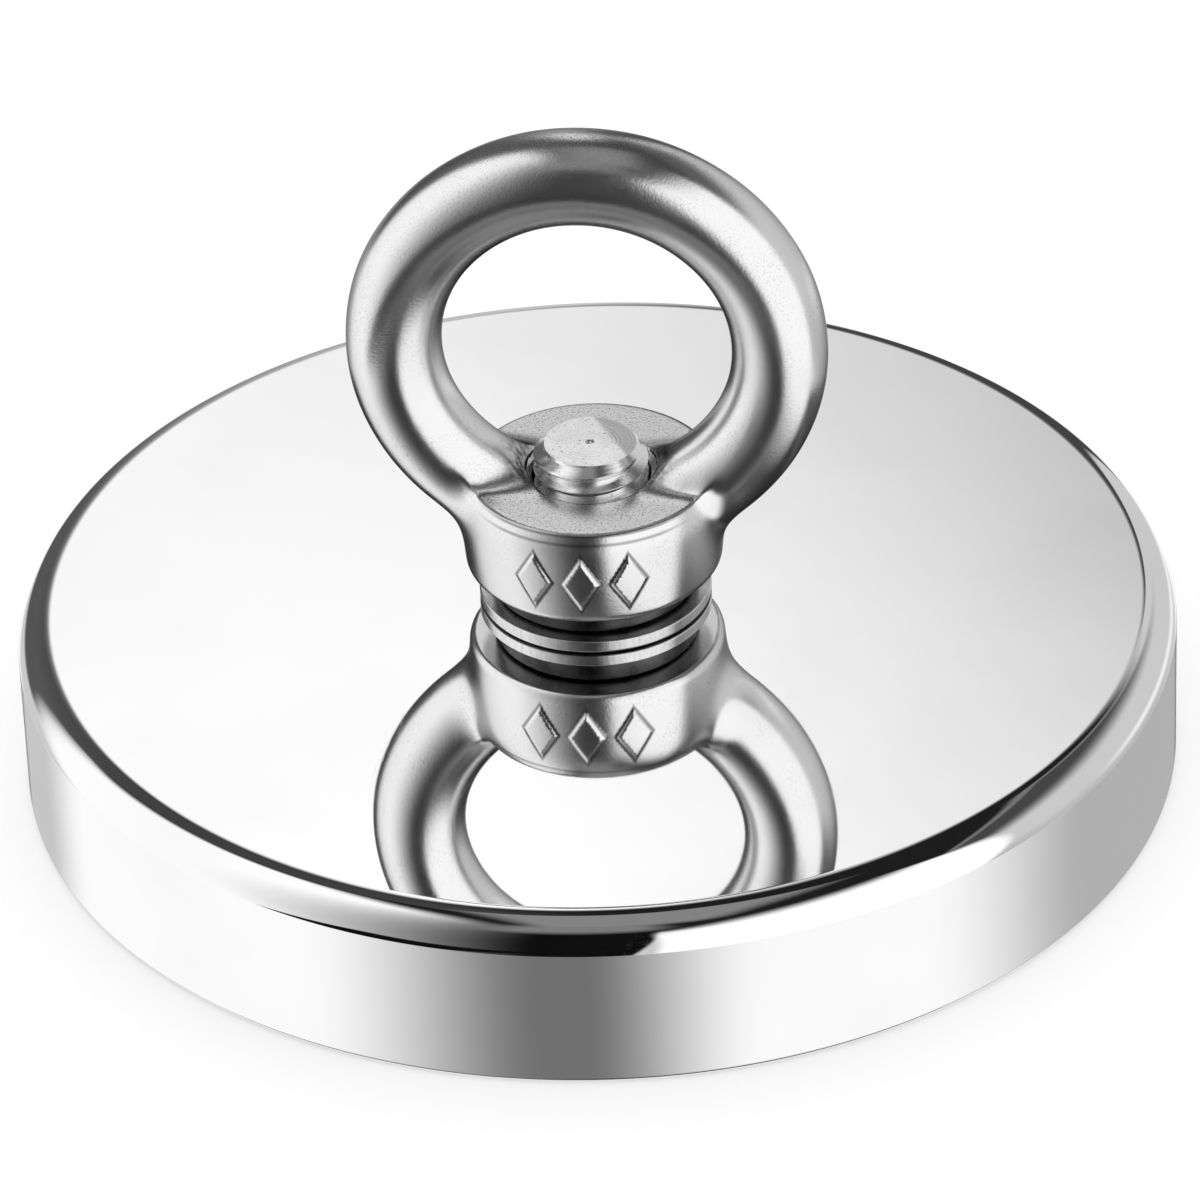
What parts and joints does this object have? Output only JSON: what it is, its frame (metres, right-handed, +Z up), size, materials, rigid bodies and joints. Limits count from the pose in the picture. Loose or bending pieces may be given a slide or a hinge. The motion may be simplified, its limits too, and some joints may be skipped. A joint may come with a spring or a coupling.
{
  "type": "magnet fishing magnet",
  "caption": "Round plated pot magnet with a flat magnetic face below and a threaded ring-shaped eye nut for a rope on top.",
  "frame": {"origin": "centre of the magnetic face, on the plate's axis, at the level of the cup's rim", "axes": "+Z up along the plate's axis, out of the plain top towards the eye; the eye's ring lies in the XZ plane, so its hole runs along Y; -Y is the front, with the raised marks"},
  "size_m": [0.12, 0.12, 0.0733],
  "materials": {
    "plated_cup": "mirror polished bright plating",
    "plated_magnet": "satin nickel plating",
    "adhesive": "cured adhesive",
    "epoxy_seal": "cured black casting epoxy",
    "bolt_steel": "machined stainless",
    "washer_steel": "pressed stainless",
    "cast_stainless": "polished investment casting"
  },
  "bodies": {
    "pot": {"steel_cup": "plated_cup", "ring_magnet": "plated_magnet", "glue_bed": "adhesive", "outer_epoxy_ring": "epoxy_seal", "inner_epoxy_ring": "epoxy_seal"},
    "bolt": {"countersunk_bolt": "bolt_steel"},
    "flat_washer": {"flat_washer": "washer_steel"},
    "spring_washer": {"spring_washer": "washer_steel"},
    "eye_nut": {"eye_nut": "cast_stainless"}
  },
  "joints": [
    {"name": "bolt_turn", "type": "hinge", "parent": "pot", "child": "bolt", "pos_m": [0, 0, 0.0188], "axis": [0, 0, 1], "continuous": true},
    {"name": "flat_washer_turn", "type": "hinge", "parent": "pot", "child": "flat_washer", "pos_m": [0, 0, 0.0188], "axis": [0, 0, 1], "continuous": true},
    {"name": "eye_nut_turn", "type": "hinge", "parent": "bolt", "child": "spring_washer", "pos_m": [0, 0, 0.0233], "axis": [0, 0, 1], "range_deg": [0, 2520]},
    {"name": "eye_nut_climb", "type": "slide", "parent": "spring_washer", "child": "eye_nut", "axis": [0, 0, 1], "range_m": [0, 0.01225]}
  ],
  "couplings": [
    {"joint": "eye_nut_turn", "follows": "eye_nut_climb", "rad_per_m": 3590.4}
  ]
}
